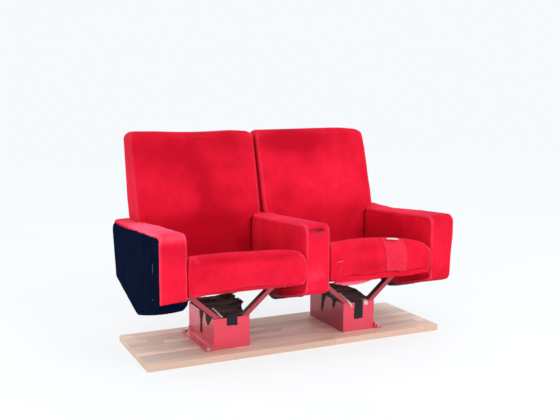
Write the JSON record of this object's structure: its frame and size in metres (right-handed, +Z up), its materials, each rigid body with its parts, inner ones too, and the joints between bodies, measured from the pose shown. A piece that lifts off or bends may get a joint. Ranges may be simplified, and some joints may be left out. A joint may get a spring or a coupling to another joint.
{
  "type": "tip-up auditorium seat",
  "caption": "Linked pair of upholstered tip-up auditorium seats with padded armrests, on pedestals bolted to a timber board.",
  "frame": {"origin": "middle of the board's underside, on the floor", "axes": "+X along the row, +Y from the front of the seats to the back, +Z up"},
  "size_m": [1.352, 0.7399, 0.902],
  "materials": {
    "board_wood": "oiled, edge-glued staves",
    "red_paint": "metallic red gloss",
    "timber": "plain sanded",
    "red_velvet": "short-pile velvet",
    "navy_velvet": "short-pile velvet",
    "black_cloth": "non-woven dust cloth",
    "nylon": "natural nylon",
    "rubber": "moulded",
    "dark_steel": "black enamel",
    "zinc_steel": "zinc plated"
  },
  "bodies": {
    "frame": {"armrest_core_left": "timber", "armrest_core_middle": "timber", "armrest_core_right": "timber", "armrest_left": "red_velvet", "armrest_middle": "red_velvet", "armrest_right": "red_velvet", "back_bracket_left_inner": "dark_steel", "back_bracket_left_outer": "dark_steel", "back_bracket_right_inner": "dark_steel", "back_bracket_right_outer": "dark_steel", "back_pad_left": "red_velvet", "back_pad_right": "red_velvet", "back_shell_left": "red_velvet", "back_shell_right": "red_velvet", "base_board": "board_wood", "dust_cloth_left": "black_cloth", "dust_cloth_right": "black_cloth", "end_panel_left": "navy_velvet", "floor_angle_left_inner": "red_paint", "floor_angle_left_outer": "red_paint", "floor_angle_right_inner": "red_paint", "floor_angle_right_outer": "red_paint", "floor_bolts": "zinc_steel", "frame_bolts": "zinc_steel", "front_bracket_left_inner": "red_paint", "front_bracket_left_outer": "red_paint", "front_bracket_right_inner": "red_paint", "front_bracket_right_outer": "red_paint", "front_strut_left_inner": "red_paint", "front_strut_left_outer": "red_paint", "front_strut_right_inner": "red_paint", "front_strut_right_outer": "red_paint", "pedestal_front_left": "red_paint", "pedestal_front_right": "red_paint", "pedestal_rear_left": "red_paint", "pedestal_rear_right": "red_paint", "pedestal_side_left_inner": "red_paint", "pedestal_side_left_outer": "red_paint", "pedestal_side_right_inner": "red_paint", "pedestal_side_right_outer": "red_paint", "pivot_pins": "zinc_steel", "rear_arm_left_inner": "red_paint", "rear_arm_left_outer": "red_paint", "rear_arm_right_inner": "red_paint", "rear_arm_right_outer": "red_paint", "stop_buffers": "rubber"},
    "seat_left": {"hinge_bushes_left": "nylon", "hinge_plate_left_inner": "dark_steel", "hinge_plate_left_outer": "dark_steel", "hinge_screws_left": "zinc_steel", "seat_cushion_left": "red_velvet", "seat_pan_left": "timber"},
    "seat_right": {"hinge_bushes_right": "nylon", "hinge_plate_right_inner": "dark_steel", "hinge_plate_right_outer": "dark_steel", "hinge_screws_right": "zinc_steel", "seat_cushion_right": "red_velvet", "seat_pan_right": "timber"}
  },
  "joints": [
    {"name": "seat_lift_left", "type": "hinge", "parent": "frame", "child": "seat_left", "pos_m": [-0.3, 0.09, 0.268], "axis": [-1, 0, 0], "range_deg": [0, 60]},
    {"name": "seat_lift_right", "type": "hinge", "parent": "frame", "child": "seat_right", "pos_m": [0.3, 0.09, 0.268], "axis": [-1, 0, 0], "range_deg": [0, 60]}
  ]
}
